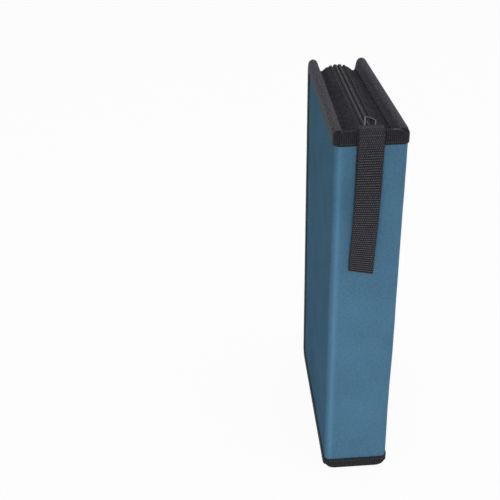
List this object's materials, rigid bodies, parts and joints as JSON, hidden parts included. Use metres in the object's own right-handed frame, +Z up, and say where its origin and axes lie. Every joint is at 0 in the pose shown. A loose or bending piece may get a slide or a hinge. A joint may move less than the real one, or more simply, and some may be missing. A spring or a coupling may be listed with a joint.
{
  "type": "zip-around cd wallet",
  "caption": "Tall zip-around disc wallet with a padded fabric shell, ribbed edge binding, a three-sided gusset and zip, a wrist strap and bound inner sleeves.",
  "frame": {"origin": "under the middle of the whole case, on the surface that it stands on", "axes": "+Z up along the spine, -Y out of the spine towards the viewer, +X across the spine to the front cover"},
  "size_m": [0.0518, 0.165, 0.2983],
  "materials": {
    "blue_nylon": "woven, matt",
    "grey_board": "plain",
    "black_lining": "woven, matt",
    "black_binding": "ribbed, matt",
    "black_gusset": "woven, matt",
    "zip_tape": "knitted, matt",
    "zip_coil": "satin",
    "dark_metal": "satin",
    "ribbed_webbing": "ribbed, matt",
    "sleeve_film": "satin"
  },
  "bodies": {
    "spine": {"spine_shell": "blue_nylon", "spine_board": "grey_board", "spine_lining": "black_lining", "spine_binding_top": "black_binding", "spine_binding_bottom": "black_binding", "wrist_strap": "ribbed_webbing", "sleeve_leaves": "sleeve_film", "sleeve_binding_strip": "black_binding"},
    "front_cover": {"front_cover_shell": "blue_nylon", "front_cover_board": "grey_board", "front_cover_lining": "black_lining", "front_binding": "black_binding", "front_gusset": "black_gusset", "front_zip_tape": "zip_tape", "front_zip_coil": "zip_coil"},
    "back_cover": {"back_cover_shell": "blue_nylon", "back_cover_board": "grey_board", "back_cover_lining": "black_lining", "back_binding": "black_binding", "back_gusset": "black_gusset", "back_zip_tape": "zip_tape", "back_zip_coil": "zip_coil"},
    "slider": {"zip_slider": "dark_metal"},
    "puller": {"zip_puller": "dark_metal"}
  },
  "joints": [
    {"name": "front_cover_hinge", "type": "hinge", "parent": "spine", "child": "front_cover", "pos_m": [0.02403, -0.07451, 0.1475], "axis": [0, 0, -1], "range_deg": [0, 90]},
    {"name": "back_cover_hinge", "type": "hinge", "parent": "spine", "child": "back_cover", "pos_m": [-0.02403, -0.07451, 0.1475], "axis": [0, 0, 1], "range_deg": [0, 90]},
    {"name": "zip_slide", "type": "slide", "parent": "spine", "child": "slider", "axis": [0, -1, 0], "range_m": [-0.12, 0]},
    {"name": "puller_swing", "type": "hinge", "parent": "slider", "child": "puller", "pos_m": [0, -0.06642, 0.29255], "axis": [1, 0, 0], "range_deg": [0, 110]}
  ]
}
